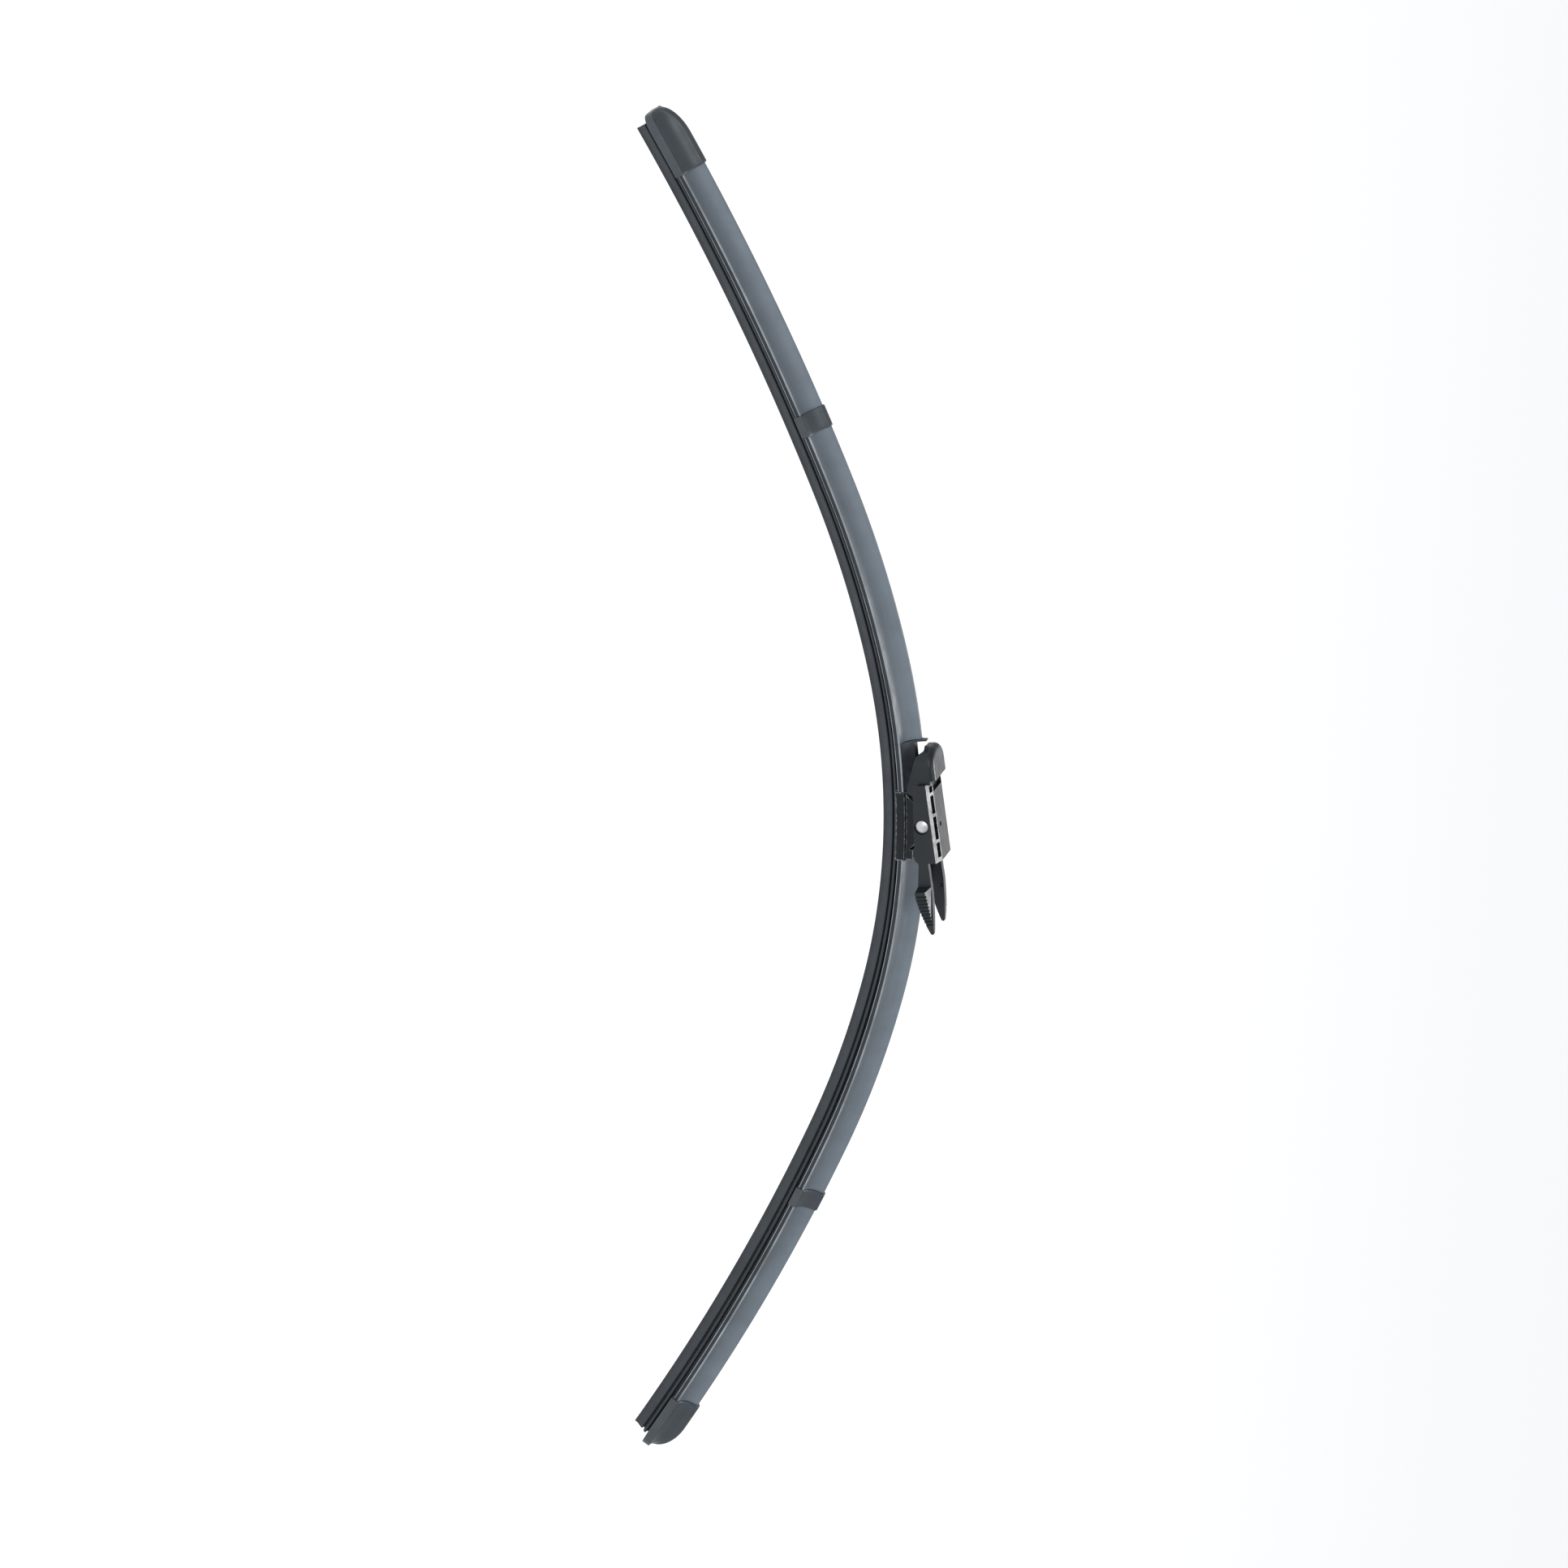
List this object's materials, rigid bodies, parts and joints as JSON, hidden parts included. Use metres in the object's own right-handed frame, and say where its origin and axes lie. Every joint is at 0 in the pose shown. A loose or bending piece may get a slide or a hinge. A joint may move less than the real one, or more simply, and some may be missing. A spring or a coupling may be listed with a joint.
{
  "type": "windshield wiper blade",
  "caption": "Bowed beam wiper blade: rubber lip on hidden spring strips, sectioned spoiler, end caps, and a riveted hinged adapter with pinch tabs for the arm.",
  "frame": {"origin": "middle of the pivot rivet's axis, where the arm's load enters the blade", "axes": "+X along the blade towards the pinch tabs (rear), -X towards the adapter's nose (front), +Y across the blade to its left along the rivet, +Z away from the glass"},
  "size_m": [0.5112, 0.024, 0.1157],
  "materials": {
    "wiping_rubber": "matt black, slightly graphite-coated",
    "spring_steel": "rolled spring steel",
    "spoiler_elastomer": "satin grey soft plastic",
    "fairing_elastomer": "satin dark grey soft plastic",
    "cap_plastic": "satin dark grey moulded plastic",
    "bracket_metal": "black coated pressed steel",
    "plated_steel": "zinc plated",
    "rivet_steel": "bright, lightly brushed",
    "bush_plastic": "natural acetal",
    "adapter_plastic": "black moulded plastic, fine satin"
  },
  "bodies": {
    "adapter": {"adapter_body": "adapter_plastic"},
    "blade": {"rubber_element": "wiping_rubber", "spring_strip_left": "spring_steel", "spring_strip_right": "spring_steel", "spoiler_outer_front": "spoiler_elastomer", "spoiler_inner_front": "spoiler_elastomer", "spoiler_inner_rear": "spoiler_elastomer", "spoiler_outer_rear": "spoiler_elastomer", "spoiler_clip_front": "cap_plastic", "spoiler_clip_rear": "cap_plastic", "end_cap_front": "cap_plastic", "end_cap_rear": "cap_plastic", "strip_link_front": "plated_steel", "strip_link_rear": "plated_steel", "connector_bracket": "bracket_metal", "connector_fairing": "fairing_elastomer", "pivot_rivet": "rivet_steel", "pivot_bush": "bush_plastic"},
    "tab_left": {"pinch_tab_left": "adapter_plastic"},
    "tab_right": {"pinch_tab_right": "adapter_plastic"}
  },
  "joints": [
    {"name": "blade_pivot", "type": "hinge", "parent": "adapter", "child": "blade", "pos_m": [0, 0, 0], "axis": [0, 1, 0], "range_deg": [-14, 2.5]},
    {"name": "tab_left_squeeze", "type": "hinge", "parent": "adapter", "child": "tab_left", "pos_m": [0.01364, 0.0072, 0.00072], "axis": [0.1478, 0, -0.989], "range_deg": [0, 6], "stiffness_Nm_per_rad": 0.5},
    {"name": "tab_right_squeeze", "type": "hinge", "parent": "adapter", "child": "tab_right", "pos_m": [0.01364, -0.0072, 0.00072], "axis": [-0.1478, 0, 0.989], "range_deg": [0, 6], "stiffness_Nm_per_rad": 0.5}
  ]
}
